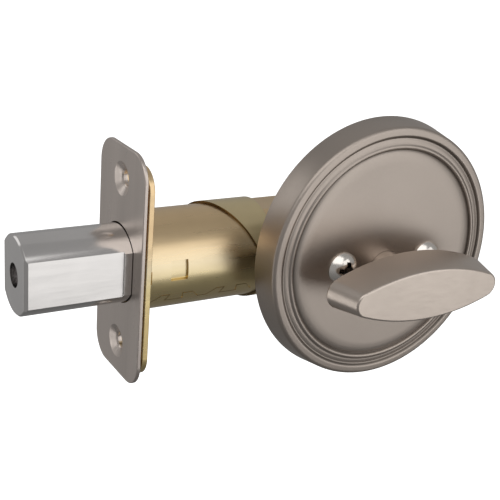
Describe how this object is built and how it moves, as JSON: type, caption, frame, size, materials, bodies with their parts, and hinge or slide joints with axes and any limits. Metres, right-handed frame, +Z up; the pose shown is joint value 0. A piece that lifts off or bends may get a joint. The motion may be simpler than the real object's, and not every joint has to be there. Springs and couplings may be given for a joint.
{
  "type": "one-sided deadbolt door lock",
  "caption": "One-sided tubular deadbolt: round stepped rose with thumbturn and exposed screws, adjustable-backset barrel, faceplate and thrown flatted bolt.",
  "frame": {"origin": "where the spindle axis meets the bolt axis, the centre of the door cross bore", "axes": "+X from the bolt tip towards the hub, into the door; -Y towards the room side, along the spindle; +Z up"},
  "size_m": [0.119, 0.0623, 0.0666],
  "materials": {
    "satin_nickel": "satin",
    "yellow_zinc": "satin",
    "bright_steel": "polished",
    "plain_steel": "satin",
    "spring_steel": "satin",
    "hub_zinc": "satin",
    "white_nylon": "matte",
    "nickel_screw": "polished"
  },
  "bodies": {
    "case": {"case_inside_half": "yellow_zinc", "case_outside_half": "yellow_zinc", "case_rivets": "plain_steel", "case_neck": "yellow_zinc", "adjuster_sleeve": "yellow_zinc", "screw_spacers": "plain_steel", "hub_bushes": "white_nylon", "detent_leaf": "spring_steel", "clamp_bar": "plain_steel"},
    "barrel": {"faceplate": "satin_nickel", "back_plate": "yellow_zinc", "front_barrel": "yellow_zinc", "bolt_guide": "yellow_zinc"},
    "drive": {"drive_link": "plain_steel"},
    "bolt": {"bolt": "bright_steel", "bolt_stem": "plain_steel", "stem_rivet": "plain_steel", "adjuster_pin": "plain_steel"},
    "saw_pin": {"saw_pin": "spring_steel"},
    "hub": {"hub": "hub_zinc", "crank_pin": "plain_steel"},
    "trim": {"rose": "satin_nickel", "rose_base_plate": "plain_steel", "turn_bushing": "satin_nickel", "mounting_screws": "nickel_screw"},
    "turn": {"thumbturn": "satin_nickel", "spring_washer": "spring_steel", "retaining_clip": "spring_steel", "tailpiece": "plain_steel", "tailpiece_pin": "plain_steel"}
  },
  "joints": [
    {"name": "turn_lock", "type": "hinge", "parent": "trim", "child": "turn", "pos_m": [0, -0.03, 0], "axis": [0, -1, 0], "range_deg": [0, 90.01]},
    {"name": "hub_turn", "type": "hinge", "parent": "case", "child": "hub", "pos_m": [0, 0, 0], "axis": [0, -1, 0], "range_deg": [0, 90.01]},
    {"name": "link_slide", "type": "slide", "parent": "case", "child": "drive", "axis": [1, 0, 0], "range_m": [0, 0.0254]},
    {"name": "backset_slide", "type": "slide", "parent": "case", "child": "barrel", "axis": [-1, 0, 0], "range_m": [0, 0.00953]},
    {"name": "bolt_on_link", "type": "slide", "parent": "drive", "child": "bolt", "axis": [-1, 0, 0], "range_m": [0, 0.00953]},
    {"name": "trim_standoff", "type": "slide", "parent": "case", "child": "trim", "axis": [0, -1, 0], "range_m": [0, 0.00476]},
    {"name": "saw_pin_spin", "type": "hinge", "parent": "bolt", "child": "saw_pin", "pos_m": [-0.07, 0, 0], "axis": [1, 0, 0], "continuous": true}
  ],
  "couplings": [
    {"joint": "turn_lock", "follows": "link_slide", "rad_per_m": 61.842},
    {"joint": "hub_turn", "follows": "link_slide", "rad_per_m": 61.842},
    {"joint": "bolt_on_link", "follows": "backset_slide", "ratio": 1}
  ]
}
